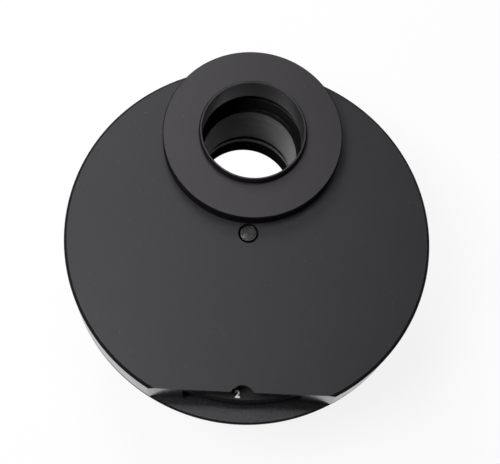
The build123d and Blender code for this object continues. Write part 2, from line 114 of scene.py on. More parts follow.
FRONT_FLANGE_RADIUS = high("front_adapter", "x")
FRONT_FLANGE_BORE = 22.55
COLLAR_HEIGHT = 3.5
COLLAR_RADIUS = 24.0
COLLAR_LIP_RADIUS = 22.8
COLLAR_CHAMFER = 0.7
FLANGE_EDGE = 0.4

REAR_FLANGE_RADIUS = high("rear_adapter", "x")
BARREL_RADIUS = high("nosepiece", "x")
BARREL_BORE = 21.9
BARREL_THREAD_RADIUS = 24.0
THREAD_FOOT = 13.0  # from the barrel's end to the land over its filter thread
LAND_RADIUS = 23.6
LAND_TOP = 16.5
RELIEF_RADIUS = 24.3
RELIEF_TOP = 23.9
UNDERCUT_DEPTH = 0.8
UNDERCUT_NEAR = 7.0
UNDERCUT_LENGTH = 10.0

CAROUSEL_RADIUS = high("carousel", "x")
RIM_CHAMFER = 0.5
SEAT_RADIUS = 25.6
SEAT_DEPTH = 1.4
CELL_RADIUS = 24.0
LIP_RADIUS = 22.9
LIP_HEIGHT = 0.4
LIP_SLOPE = CELL_RADIUS - LIP_RADIUS
ENTRY_CHAMFER = 0.4
BUSH_RADIUS = high("carousel_bush", "x")
RIM_NOTCH_DEPTH = 1.2
RIM_NOTCH_HALF_WIDTH = 1.8
NUMBER_RADIUS = 69.2
NUMBER_HEIGHT = 3.0
NUMBER_SHARE = 0.7  # a number's height as a share of its font's size
NUMBER_DEPTH = 0.02
NUMBER_BOLDNESS = 0.16
NUMBER_SHOWN = 2
NUMBER_LEAD = -1.4  # degrees by which each number trails the middle of the window

M48_PITCH = 0.75
M48_FLANK = 0.36  # half the width of the thread's ridge, and how far it stands out

SLIP = 0.05
OVERRUN = 1.0  # by which a cutter passes the faces that it opens
EDGE_ROUND = 0.12  # blasting and tumbling take the sharpness off every corner
TURNED_ROUND = 0.08  # a lathe tool leaves sharper ones
SMALL_ROUND = 0.06
ROUND_STEPS = 3
SHARP_ANGLE = 50  # degrees, above which two faces meet in an edge

# Sides of a turned piece, by how large it is.
FACETS = 288
CASING_FACETS = 360
FLANGE_FACETS = 384
BARREL_FACETS = 320
CELL_FACETS = 240
AXLE_FACETS = 128
SEAT_FACETS = 96
BUSH_FACETS = 64
SCREW_FACETS = 48
GRUB_FACETS = 40
PIN_FACETS = 32
THREAD_FACETS = 96


# ------------------------------------------------------------------ mesh making
def solid(name, points, faces):
    """A closed mesh object from points in mm, with its faces turned outwards."""
    mesh = bpy.data.meshes.new(name)
    mesh.from_pydata([Vector(point) * MM for point in points], [], faces)
    obj = bpy.data.objects.new(name, mesh)
    bpy.context.scene.collection.objects.link(obj)
    tidy_mesh(obj)
    return obj


def tidy_mesh(obj):
    """Merges doubled points and turns every face outwards."""
    work = bmesh.new()
    work.from_mesh(obj.data)
    bmesh.ops.remove_doubles(work, verts=work.verts, dist=0.001 * MM)
    bmesh.ops.recalc_face_normals(work, faces=work.faces)
    work.to_mesh(obj.data)
    work.free()


def rounded(corners, radius=EDGE_ROUND):
    """A closed section of (radius, height) corners with every one off the axis rolled over."""
    section = []
    for index, corner in enumerate(corners):
        here = Vector(corner)
        before = Vector(corners[index - 1]) - here
        after = Vector(corners[(index + 1) % len(corners)]) - here
        if here.x == 0 or min(before.length, after.length) == 0:
            section.append(tuple(here))
            continue
        half_turn = (math.pi - before.angle(after)) / 2
        room = 0.4 * min(before.length, after.length)
        setback = min(radius * math.tan(half_turn), room)
        start = here + before.normalized() * setback
        end = here + after.normalized() * setback
        for step in range(ROUND_STEPS + 1):
            share = step / ROUND_STEPS
            section.append(tuple(
                start * (1 - share) ** 2 + here * 2 * share * (1 - share) + end * share ** 2
            ))
    return section


def turned(name, section, centre=PORT, facets=FACETS):
    """A closed mesh turned about a vertical axis from a closed section."""
    points = []
    rings = []
    for radius, height in section:
        if radius == 0:
            rings.append([len(points)] * facets)
            points.append((*centre, height))
            continue
        rings.append(range(len(points), len(points) + facets))
        for step in range(facets):
            angle = 2 * math.pi * step / facets
            points.append((
                centre[0] + radius * math.cos(angle),
                centre[1] + radius * math.sin(angle),
                height,
            ))
    faces = []
    for index, ring in enumerate(rings):
        following = rings[(index + 1) % len(rings)]
        for step in range(facets):
            beside = (step + 1) % facets
            face = []
            for corner in (ring[step], ring[beside], following[beside], following[step]):
                if corner not in face:
                    face.append(corner)
            if len(face) > 2:
                faces.append(face)
    return solid(name, points, faces)


def slab(name, outline, bottom, top):
    """A closed prism from an outline in the XY plane."""
    count = len(outline)
    points = [(x, y, bottom) for x, y in outline] + [(x, y, top) for x, y in outline]
    faces = [list(range(count)), list(range(count, 2 * count))]
    for index in range(count):
        beside = (index + 1) % count
        faces.append([index, beside, count + beside, count + index])
    return solid(name, points, faces)


def round_cutter(name, radius, bottom, top, centre=PORT, facets=FACETS):
    """Space of a plain round hole between two levels."""
    return turned(name, [(0, bottom), (radius, bottom), (radius, top), (0, top)], centre, facets)


def around(centre, radius, angle):
    """The point of a circle at an angle in degrees."""
    return (
        centre[0] + radius * math.cos(math.radians(angle)),
        centre[1] + radius * math.sin(math.radians(angle)),
    )


def box_outline(middle, along, across, angle):
    """Corners of a rectangle whose length runs along an angle in degrees."""
    ahead = Vector(around(PORT, along / 2, angle))
    aside = Vector(around(PORT, across / 2, angle + 90))
    centre = Vector(middle)
    return [
        tuple(centre - ahead - aside), tuple(centre + ahead - aside),
        tuple(centre + ahead + aside), tuple(centre - ahead + aside),
    ]


def baked(obj):
    """Puts an object's modifiers into a plain mesh."""
    graph = bpy.context.evaluated_depsgraph_get()
    mesh = bpy.data.meshes.new_from_object(obj.evaluated_get(graph))
    obj.modifiers.clear()
    obj.data = mesh
    return obj


def cut(obj, *cutters):
    """Takes the cutters out of a solid."""
    for cutter in cutters:
        modifier = obj.modifiers.new("cut", "BOOLEAN")
        modifier.operation = "DIFFERENCE"
        modifier.solver = "EXACT"
        modifier.object = cutter
    bpy.context.view_layer.update()
    baked(obj)
    for cutter in cutters:
        bpy.data.objects.remove(cutter)
    return obj


def softened(obj, width=EDGE_ROUND):
    """Rolls over the corners that cutting has left sharp."""
    modifier = obj.modifiers.new("soften", "BEVEL")
    modifier.width = width * MM
    modifier.segments = 2
    modifier.limit_method = "ANGLE"
    modifier.angle_limit = math.radians(SHARP_ANGLE)
    bpy.context.view_layer.update()
    return baked(obj)


def shaded(obj):
    """Shades rolled corners smoothly and keeps the flats between them flat."""
    obj.data.shade_smooth()
    obj.data.set_sharp_from_angle(angle=math.radians(SHARP_ANGLE))
    modifier = obj.modifiers.new("flats", "WEIGHTED_NORMAL")
    modifier.keep_sharp = True
    modifier.weight = 100
    bpy.context.view_layer.update()
    return baked(obj)


def finished(obj, material, body, slot, *replaced):
    """Gives a piece its material and its body, and hides the nodes that it stands for. The slot
    is not used.
    """
    obj.data.materials.clear()
    obj.data.materials.append(material)
    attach(obj, body)
    if replaced:
        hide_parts(*replaced)
    return obj


def joined(name, objects):
    """One object from several that belong to the same piece."""
    bpy.ops.object.select_all(action="DESELECT")
    for obj in objects:
        obj.select_set(True)
    bpy.context.view_layer.objects.active = objects[0]
    bpy.ops.object.join()
    objects[0].name = name
    return objects[0]


# ------------------------------------------------------------------ node trees
class Signal:
    """A socket of a node tree. Sums written with it become Math nodes."""

    def __init__(self, tree, socket):
        self.tree = tree
        self.socket = socket

    def sum(self, operation, *values):
        """A Math node over these values."""
        inputs = dict(enumerate(values))
        return self.tree.node("ShaderNodeMath", {"operation": operation}, inputs)

    def __add__(self, other):
        return self.sum("ADD", self, other)

    def __mul__(self, other):
        return self.sum("MULTIPLY", self, other)

    def __sub__(self, other):
        return self.sum("SUBTRACT", self, other)

    def __rsub__(self, other):
        return self.sum("SUBTRACT", other, self)

    __radd__ = __add__
    __rmul__ = __mul__

    def above(self, bound):
        """1 where the value is more than the bound, and 0 elsewhere."""
        return self.sum("GREATER_THAN", self, bound)

    def below(self, bound):
        """1 where the value is less than the bound, and 0 elsewhere."""
        return self.sum("LESS_THAN", self, bound)


class Tree:
    """Adds nodes to a material, a world or a Geometry Nodes tree."""

    def __init__(self, tree):
        self.tree = tree

    def node(self, kind, settings=None, inputs=None, output=0):
        """A node of a type with its settings and inputs, given as one of its outputs."""
        made = self.tree.nodes.new(kind)
        for name, value in (settings or {}).items():
            setattr(made, name, value)
        for name, value in (inputs or {}).items():
            if isinstance(value, Signal):
                self.tree.links.new(value.socket, made.inputs[name])
            else:
                made.inputs[name].default_value = value
        return Signal(self, made.outputs[output]) if made.outputs else made


def new_material(name):
    """An empty material and the tree that fills it."""
    material = bpy.data.materials.new(name)
    material.use_nodes = True
    material.node_tree.nodes.clear()
    return material, Tree(material.node_tree)


# ------------------------------------------------------------------ finishes
GRAIN_SIZE = 0.22  # mm, the pits that glass beads leave
GRAIN_DULLNESS = 0.08  # by how much the roughness varies with them
RIPPLE_SIZE = 1.6
RIPPLE_SHARE = 2.2  # its depth for each mm of the grain's
RIPPLE_DULLNESS = 0.16
CLOUD_SIZE = 34.0  # mm, slow changes in the dye
CLOUD_DULLNESS = 0.10
TURNING_PITCH = 0.5  # mm, the wider of the tool's marks
RING_DULLNESS = 0.12
GROOVE_PITCH = 0.2
DYE_GLOSS = 0.35  # the dyed layer reflects less than bare oxide does
SMOOTH_WALL = -0.26  # what walls add to the roughness of the blasted faces
BLOOM_ROUGHNESS = 0.35
DULL_ROUGHNESS = 0.60  # chamfers and tool-finished walls
DULL_GLOSS = 0.02
LEAST_FACE = 0.85  # the square of the normal's Z at which faces end
LEAST_CHAMFER = 0.15  # and that at which walls begin
DUST_SIZE = 0.5
DUST_BOUND = 0.80
DUST = (0.22, 0.22, 0.21)
COOL = (0.95, 0.955, 1.0)
SCRATCH_SHADE = 0.8  # how much of a metal's colour its scratches keep
SCRATCH_DULLNESS = 0.2
SCRATCH_DEPTH = 0.004
SPECK_SIZE = 0.4
SPECK_SHADE = 0.92
SPECK_DULLNESS = 0.1
SPECK_DEPTH = 0.002
INSIDE_BARREL = BARREL_RADIUS - 1


def noise(tree, place, size, detail=2.0, rough=0.5):
    """Noise whose lumps are about so many mm across."""
    return tree.node("ShaderNodeTexNoise", {"noise_dimensions": "3D"}, {
        "Vector": place, "Scale": 1 / (size * MM), "Detail": detail, "Roughness": rough,
    })


def mixed(tree, share, first, second):
    """A colour between two others."""
    ends = [end if isinstance(end, Signal) else (*end, 1) for end in (first, second)]
    return tree.node("ShaderNodeMix", {"data_type": "RGBA"}, {
        "Factor": share, 6: ends[0], 7: ends[1],
    }, output=2)


def varied(signal, range_of_change):
    """A change about 0 that follows a noise about 0.5."""
    return (signal - 0.5) * range_of_change


def bumped(tree, height, depth, under=None):
    """A normal from heights between 0 and 1, of that depth in mm."""
    inputs = {"Height": height, "Distance": depth * MM, "Strength": 1.0}
    if under:
        inputs["Normal"] = under
    return tree.node("ShaderNodeBump", {}, inputs)


def radius_from(tree, place, centre):
    """How far a point is from a vertical axis, in mm."""
    level = tree.node("ShaderNodeVectorMath", {"operation": "MULTIPLY"}, {
        0: place, 1: (1, 1, 0),
    })
    return tree.node("ShaderNodeVectorMath", {"operation": "DISTANCE"}, {
        0: level, 1: (centre[0] * MM, centre[1] * MM, 0),
    }, output=1) * (1 / MM)


def tool_marks(tree, place, centre, pitch=TURNING_PITCH):
    """Uneven rings about an axis: they follow the radius on a face and the height on a wall."""
    height = tree.node("ShaderNodeSeparateXYZ", {}, {0: place}, output=2)
    along = tree.node("ShaderNodeCombineXYZ", {}, {
        0: radius_from(tree, place, centre) * MM, 2: height,
    })
    return noise(tree, along, pitch, 3.0, 0.65)


def wall_marks(tree, place):
    """Fine uneven grooves round a turned wall, one above the other."""
    height = tree.node("ShaderNodeSeparateXYZ", {}, {0: place}, output=2)
    upwards = tree.node("ShaderNodeCombineXYZ", {}, {2: height})
    return noise(tree, upwards, GROOVE_PITCH, 1.0)


def anodised(name, light, dark, roughness, grain_depth, turned_about=None, ring_depth=0.0,
             ring_pitch=TURNING_PITCH, groove_depth=0.0, gloss=DYE_GLOSS, tint=COOL, bloom=0.0,
             bore=0.0, rougher_bore=0.0, bright_walls=True):
    """Black anodised aluminium: blasted grain, cloudy dye and, if turned, the tool's rings.

    The roughness is that of level faces. Walls are smoother, apart from those of a bore of
    that radius round the port, and chamfers are dull, as are walls that aren't bright.
    """
    material, tree = new_material(name)
    place = tree.node("ShaderNodeTexCoord", output=3)
    clouds = noise(tree, place, CLOUD_SIZE, 3.0)
    ripple = noise(tree, place, RIPPLE_SIZE, 2.0)
    grain = noise(tree, place, GRAIN_SIZE, 2.0, 0.6)
    dust = noise(tree, place, DUST_SIZE, 1.0).above(DUST_BOUND)

    facing = tree.node("ShaderNodeNewGeometry", output=1)
    upright = tree.node("ShaderNodeSeparateXYZ", {}, {0: facing}, output=2)
    level = upright * upright
    wall = 1 - level * level
    in_bore = radius_from(tree, place, PORT).below(bore)
    is_dull = level.below(LEAST_FACE) * (1 - in_bore)
    if bright_walls:
        is_dull = is_dull * level.above(LEAST_CHAMFER)

    rough = (
        roughness
        + varied(clouds, CLOUD_DULLNESS)
        + varied(grain, GRAIN_DULLNESS)
        + varied(ripple, RIPPLE_DULLNESS)
        + wall * (in_bore * rougher_bore + SMOOTH_WALL)
    )
    normal = bumped(tree, ripple, RIPPLE_SHARE * grain_depth)
    normal = bumped(tree, grain, grain_depth, under=normal)
    if turned_about:
        rings = tool_marks(tree, place, turned_about, ring_pitch)
        normal = bumped(tree, rings, ring_depth, under=normal)
        rough = rough + varied(rings, RING_DULLNESS)
    if groove_depth:
        normal = bumped(tree, wall_marks(tree, place), groove_depth, under=normal)

    dyed = mixed(tree, clouds, dark, light)
    face = tree.node("ShaderNodeBsdfPrincipled", {}, {
        "Base Color": mixed(tree, dust, dyed, DUST),
        "Roughness": rough,
        "Specular IOR Level": gloss,
        "Specular Tint": (*tint, 1),
        "Sheen Weight": bloom,
        "Sheen Roughness": BLOOM_ROUGHNESS,
        "Normal": normal,
    })
    dull = tree.node("ShaderNodeBsdfPrincipled", {}, {
        "Base Color": dyed,
        "Roughness": DULL_ROUGHNESS,
        "Specular IOR Level": DULL_GLOSS,
        "Normal": normal,
    })
    shader = tree.node("ShaderNodeMixShader", {}, {0: is_dull, 1: face, 2: dull})
    tree.node("ShaderNodeOutputMaterial", {}, {"Surface": shader})
    return material


def plain_metal(name, colour, roughness, brush_size, metallic=1.0):
    """Bare or blackened metal with fine random scratches in its gloss."""
    material, tree = new_material(name)
    place = tree.node("ShaderNodeTexCoord", output=3)
    marks = noise(tree, place, brush_size, 4.0, 0.7)
    darker = tuple(SCRATCH_SHADE * part for part in colour)
    shader = tree.node("ShaderNodeBsdfPrincipled", {}, {
        "Base Color": mixed(tree, marks, darker, colour),
        "Metallic": metallic,
        "Roughness": roughness + varied(marks, SCRATCH_DULLNESS),
        "Normal": bumped(tree, marks, SCRATCH_DEPTH),
    })
    tree.node("ShaderNodeOutputMaterial", {}, {"Surface": shader})
    return material


def moulded(name, colour, roughness):
    """Dull plastic or paint, a little uneven."""
    material, tree = new_material(name)
    place = tree.node("ShaderNodeTexCoord", output=3)
    specks = noise(tree, place, SPECK_SIZE, 2.0)
    dim = tuple(SPECK_SHADE * part for part in colour)
    shader = tree.node("ShaderNodeBsdfPrincipled", {}, {
        "Base Color": mixed(tree, specks, dim, colour),
        "Roughness": roughness + varied(specks, SPECK_DULLNESS),
        "Normal": bumped(tree, specks, SPECK_DEPTH),
    })
    tree.node("ShaderNodeOutputMaterial", {}, {"Surface": shader})
    return material


casing_black = anodised(
    "casing_black", light=(0.014, 0.014, 0.015), dark=(0.009, 0.009, 0.010),
    roughness=0.44, grain_depth=0.012)
flange_black = anodised(
    "flange_black", light=(0.012, 0.010, 0.012), dark=(0.008, 0.007, 0.008),
    roughness=0.42, grain_depth=0.008, turned_about=PORT, ring_depth=0.003, groove_depth=0.03,
    gloss=0.45, tint=(0.96, 0.94, 1.0), bore=COLLAR_LIP_RADIUS, rougher_bore=0.27,
    bright_walls=False)
barrel_black = anodised(
    "barrel_black", light=(0.010, 0.010, 0.010), dark=(0.007, 0.007, 0.007),
    roughness=0.34, grain_depth=0.002, turned_about=PORT, ring_depth=0.002, groove_depth=0.12,
    gloss=0.03, tint=(1.0, 0.99, 0.95), bloom=0.45, bore=INSIDE_BARREL, rougher_bore=0.44)
carousel_black = anodised(
    "carousel_black", light=(0.010, 0.010, 0.010), dark=(0.007, 0.007, 0.007),
    roughness=0.46, grain_depth=0.010, gloss=0.2, bright_walls=False)
plate_black = anodised(
    "plate_black", light=(0.013, 0.013, 0.014), dark=(0.009, 0.009, 0.010),
    roughness=0.24, grain_depth=0.004, gloss=0.5, bright_walls=False)
axle_black = anodised(
    "axle_black", light=(0.012, 0.012, 0.012), dark=(0.009, 0.009, 0.009),
    roughness=0.20, grain_depth=0.001, turned_about=SPIN, ring_depth=0.12, ring_pitch=0.2,
    gloss=0.4)
screw_black = plain_metal("screw_black", (0.035, 0.035, 0.037), 0.38, 0.5, metallic=0.6)
ground_steel = plain_metal("ground_steel", (0.62, 0.62, 0.61), 0.28, 0.3)
spring_steel = plain_metal("spring_steel", (0.30, 0.31, 0.34), 0.32, 0.3)
sintered_bronze = plain_metal("sintered_bronze", (0.50, 0.31, 0.16), 0.45, 0.15)
slippery_white = moulded("slippery_white", (0.78, 0.78, 0.76), 0.45)
number_white = moulded("number_white", (0.90, 0.90, 0.88), 0.50)


# ------------------------------------------------------------------ threads
def thread_tree():
    """A V ridge that climbs a cylinder, one for each point that it is given."""
    group = bpy.data.node_groups.new("screw_thread", "GeometryNodeTree")
    face = group.interface
    face.new_socket("Geometry", in_out="INPUT", socket_type="NodeSocketGeometry")
    for name in ("Radius", "Flank", "Pitch", "Turns"):
        face.new_socket(name, in_out="INPUT", socket_type="NodeSocketFloat")
    face.new_socket("Material", in_out="INPUT", socket_type="NodeSocketMaterial")
    face.new_socket("Geometry", in_out="OUTPUT", socket_type="NodeSocketGeometry")
    tree = Tree(group)
    given = group.nodes.new("NodeGroupInput")
    value = {socket.name: Signal(tree, socket) for socket in given.outputs if socket.name}
    helix = tree.node("GeometryNodeCurveSpiral", {}, {
        "Resolution": THREAD_FACETS, "Rotations": value["Turns"],
        "Start Radius": value["Radius"], "End Radius": value["Radius"],
        "Height": value["Pitch"] * value["Turns"],
    })
    upright = tree.node("GeometryNodeSetCurveNormal", {"mode": "Z_UP"}, {"Curve": helix})
    section = tree.node("GeometryNodeCurvePrimitiveCircle", {}, {
        "Resolution": 4, "Radius": value["Flank"],
    })
    ridge = tree.node("GeometryNodeCurveToMesh", {}, {
        "Curve": upright, "Profile Curve": section, "Fill Caps": True,
    })
    placed = tree.node("GeometryNodeInstanceOnPoints", {}, {
        "Points": value["Geometry"], "Instance": ridge,
    })
    real = tree.node("GeometryNodeRealizeInstances", {}, {"Geometry": placed})
    painted = tree.node("GeometryNodeSetMaterial", {}, {
        "Geometry": real, "Material": value["Material"],
    })
    tree.node("NodeGroupOutput", {}, {"Geometry": painted})
    return group


def nodes_piece(name, points, group, **values):
    """A plain mesh from a Geometry Nodes tree that is run on points in mm."""
    mesh = bpy.data.meshes.new(name)
    mesh.from_pydata([Vector(point) * MM for point in points], [], [])
    obj = bpy.data.objects.new(name, mesh)
    bpy.context.scene.collection.objects.link(obj)
    modifier = obj.modifiers.new("shape", "NODES")
    modifier.node_group = group
    for item in group.interface.items_tree:
        if item.in_out == "INPUT" and item.name in values:
            modifier[item.identifier] = values[item.name]
    bpy.context.view_layer.update()
    return baked(obj)


screw_thread = thread_tree()


def thread(name, places, radius, length, material, body, slot):
    """A length of M48 thread, standing up from each of the places."""
    piece = nodes_piece(
        name, places, screw_thread,
        Radius=radius * MM, Flank=M48_FLANK * MM, Pitch=M48_PITCH * MM,
        Turns=length / M48_PITCH, Material=material,
    )
    return finished(shaded(piece), material, body, slot)


# ------------------------------------------------------------------ casing
def make_casing():
    """The cup of face and wall, with the chord cut, the reading notch and the port."""
    cup = turned("casing", rounded([
        (0, FACE),
        (CASING_RADIUS - FACE_CHAMFER, FACE),
        (CASING_RADIUS, FACE - FACE_CHAMFER),
        (CASING_RADIUS, FLOOR),
        (CASING_INNER_RADIUS, FLOOR),
        (CASING_INNER_RADIUS, CEILING),
        (BOSS_RADIUS, CEILING),
        (BOSS_RADIUS, BOSS_END),
        (0, BOSS_END),
    ]), SPIN, CASING_FACETS)
    beyond_chord = (0, CHORD_Y - CASING_RADIUS / 2)
    chord_outline = box_outline(beyond_chord, 3 * CASING_RADIUS, CASING_RADIUS, 0)
    chord = slab("chord", chord_outline, PLATE_BACK, COLLAR_TIP)
    notch = round_cutter("notch", NOTCH_RADIUS, PLATE_BACK, COLLAR_TIP, (0, NOTCH_Y), SEAT_FACETS)
    port = round_cutter("port", PORT_RADIUS, CEILING - OVERRUN, FACE + OVERRUN)
    axle_seat = turned("axle_seat", [
        (0, BOSS_END - OVERRUN),
        (AXLE_END_RADIUS + SLIP, BOSS_END - OVERRUN),
        (AXLE_END_RADIUS + SLIP, FACE - AXLE_RECESS_DEPTH),
        (AXLE_RECESS_RADIUS, FACE - AXLE_RECESS_LIP),
        (AXLE_RECESS_RADIUS, FACE + OVERRUN),
        (0, FACE + OVERRUN),
    ], SPIN, SEAT_FACETS)
    pocket_middle = around(SPIN, CASING_INNER_RADIUS - POCKET_INSET, POCKET_ANGLE)
    pocket_outline = box_outline(pocket_middle, *POCKET_SIZE, POCKET_ANGLE)
    pocket = slab("pocket", pocket_outline, CAROUSEL_BOTTOM, CAROUSEL_TOP)
    cut(cup, chord, notch, port, axle_seat, pocket)
    return finished(shaded(softened(cup)), casing_black, "casing", "black_anodised",
                    "front_housing")


def countersink(name, centre, height, clear, wide, depth):
    """Space of a countersunk hole that opens at a height and runs to a depth from there."""
    towards = OVERRUN if depth > 0 else -OVERRUN
    sink = math.copysign(wide - clear, depth)
    return turned(name, [
        (0, height - towards), (wide, height - towards), (wide, height),
        (clear, height + sink), (clear, height + depth + towards),
        (0, height + depth + towards),
    ], centre, SCREW_FACETS)


WALL_SCREW_RADIUS = 77.0
WALL_SCREW_ANGLES = (0, 60, 120, 180, 228, 312)
FLANGE_SCREW_RADIUS = 31.0
FLANGE_SCREW_ANGLES = (45, 135, 225, 315)
PIN_ANGLES = (150, 330)
GRUB_ANGLES = (90, 210, 330)
GRUB_HEIGHT = PLATE_BACK / 2
GRUB_HOLE = 1.5
M3_CLEAR = 1.7
M3_SINK = 3.1
M4_CLEAR = 2.2
M4_SINK = 4.1
PIN_RADIUS = 1.5


def make_back_plate():
    """The full round plate that closes the casing, with its countersunk holes."""
    plate = turned("back_plate", rounded([
        (0, PLATE_BACK),
        (CASING_RADIUS - PLATE_CHAMFER, PLATE_BACK),
        (CASING_RADIUS, PLATE_BACK + PLATE_CHAMFER),
        (CASING_RADIUS, FLOOR - PLATE_CHAMFER),
        (CASING_RADIUS - PLATE_CHAMFER, FLOOR),
        (0, FLOOR),
    ]), SPIN, CASING_FACETS)
    thickness = FLOOR - PLATE_BACK
    start, end = PLATE_BACK - OVERRUN, FLOOR + OVERRUN
    cutters = [round_cutter("port", PORT_RADIUS, start, end)]
    for angle in WALL_SCREW_ANGLES:
        centre = around(SPIN, WALL_SCREW_RADIUS, angle)
        cutters.append(countersink("hole", centre, PLATE_BACK, M3_CLEAR, M3_SINK, thickness))
    for angle in FLANGE_SCREW_ANGLES:
        centre = around(PORT, FLANGE_SCREW_RADIUS, angle)
        cutters.append(countersink("hole", centre, FLOOR, M3_CLEAR, M3_SINK, -thickness))
    cutters.append(countersink("hole", SPIN, PLATE_BACK, M4_CLEAR, M4_SINK, thickness))
    for angle in PIN_ANGLES:
        centre = around(SPIN, WALL_SCREW_RADIUS, angle)
        cutters.append(
            round_cutter("hole", PIN_RADIUS + SLIP, start, end, centre, PIN_FACETS))
    cut(plate, *cutters)
    return finished(shaded(plate), plate_black, "casing", "black_anodised", "rear_plate")


# ------------------------------------------------------------------ flanges and barrel
def make_front_flange():
    """The raised flange, its bore and the camera thread with its flat tip."""
    top = COLLAR_TIP - COLLAR_HEIGHT
    root = COLLAR_RADIUS - M48_FLANK
    flange = turned("camera_flange", rounded([
        (FRONT_FLANGE_BORE, SPIGOT_FOOT),
        (PORT_RADIUS - SLIP, SPIGOT_FOOT),
        (PORT_RADIUS - SLIP, FACE),
        (FRONT_FLANGE_RADIUS, FACE),
        (FRONT_FLANGE_RADIUS, top - FLANGE_EDGE),
        (FRONT_FLANGE_RADIUS - FLANGE_EDGE, top),
        (root, top),
        (root, COLLAR_TIP - COLLAR_CHAMFER),
        (COLLAR_RADIUS - COLLAR_CHAMFER, COLLAR_TIP),
        (COLLAR_LIP_RADIUS, COLLAR_TIP),
        (FRONT_FLANGE_BORE, COLLAR_TIP + FRONT_FLANGE_BORE - COLLAR_LIP_RADIUS),
    ], TURNED_ROUND), facets=FLANGE_FACETS)
    finished(shaded(flange), flange_black, "casing", "black_anodised_turned", "front_adapter")
    length = COLLAR_HEIGHT - 2 * COLLAR_CHAMFER
    thread("camera_thread", [(*PORT, top + COLLAR_CHAMFER / 2 + M48_FLANK / 2)], root, length,
           flange_black, "casing", "black_anodised_turned")


def radial_hole(angle):
    """Space of a grub screw's hole, with its mouth chamfered, outwards from the barrel."""
    mouth = REAR_FLANGE_RADIUS - FLANGE_EDGE
    hole = turned("hole", [
        (0, BARREL_BORE), (GRUB_HOLE, BARREL_BORE), (GRUB_HOLE, mouth),
        (GRUB_HOLE + 2 * FLANGE_EDGE, mouth + 2 * FLANGE_EDGE), (0, mouth + 2 * FLANGE_EDGE),
    ], PORT, GRUB_FACETS)
    hole.data.transform(
        Matrix.Translation((0, 0, GRUB_HEIGHT * MM))
        @ Matrix.Rotation(math.radians(angle), 4, "Z")
        @ Matrix.Rotation(math.radians(90), 4, "Y")
    )
    return hole


def make_rear_flange():
    """The flange behind the plate, bored for the barrel's thread and its grub screws."""
    flange = turned("rear_flange", rounded([
        (BARREL_THREAD_RADIUS, FLANGE_EDGE),
        (BARREL_THREAD_RADIUS + FLANGE_EDGE, 0),
        (REAR_FLANGE_RADIUS - FLANGE_EDGE, 0),
        (REAR_FLANGE_RADIUS, FLANGE_EDGE),
        (REAR_FLANGE_RADIUS, PLATE_BACK),
        (PORT_RADIUS - SLIP, PLATE_BACK),
        (PORT_RADIUS - SLIP, FLOOR),
        (BARREL_THREAD_RADIUS, FLOOR),
    ], TURNED_ROUND), facets=BARREL_FACETS)
    cut(flange, *[radial_hole(angle) for angle in GRUB_ANGLES])
    finished(shaded(flange), flange_black, "casing", "black_anodised_turned", "rear_adapter")


def make_barrel():
    """The 2-inch barrel with its undercut, and the relief, land and thread in its end."""
    far = -UNDERCUT_NEAR - UNDERCUT_LENGTH
    neck = BARREL_RADIUS - UNDERCUT_DEPTH
    barrel = turned("barrel", rounded([
        (BARREL_BORE, BARREL_TOP),
        (BARREL_THREAD_RADIUS - SLIP - FLANGE_EDGE, BARREL_TOP),
        (BARREL_THREAD_RADIUS - SLIP, BARREL_TOP - FLANGE_EDGE),
        (BARREL_THREAD_RADIUS - SLIP, 0),
        (BARREL_RADIUS, 0),
        (BARREL_RADIUS, -UNDERCUT_NEAR),
        (neck, -UNDERCUT_NEAR - UNDERCUT_DEPTH),
        (neck, far + UNDERCUT_DEPTH),
        (BARREL_RADIUS, far),
        (BARREL_RADIUS, BARREL_END + FLANGE_EDGE),
        (BARREL_RADIUS - FLANGE_EDGE, BARREL_END),
        (BARREL_THREAD_RADIUS + FLANGE_EDGE, BARREL_END),
        (BARREL_THREAD_RADIUS, BARREL_END + FLANGE_EDGE),
        (BARREL_THREAD_RADIUS, BARREL_END + THREAD_FOOT),
        (LAND_RADIUS, BARREL_END + THREAD_FOOT),
        (LAND_RADIUS, BARREL_END + LAND_TOP),
        (RELIEF_RADIUS, BARREL_END + LAND_TOP),
        (RELIEF_RADIUS, BARREL_END + RELIEF_TOP),
        (BARREL_BORE, BARREL_END + RELIEF_TOP),
    ], TURNED_ROUND), facets=BARREL_FACETS)
    finished(shaded(barrel), barrel_black, "casing", "black_anodised_turned", "nosepiece")
    thread("barrel_filter_thread", [(*PORT, BARREL_END + 2 * M48_FLANK)], BARREL_THREAD_RADIUS,
           THREAD_FOOT - 4 * M48_FLANK, barrel_black, "casing", "black_anodised_turned")


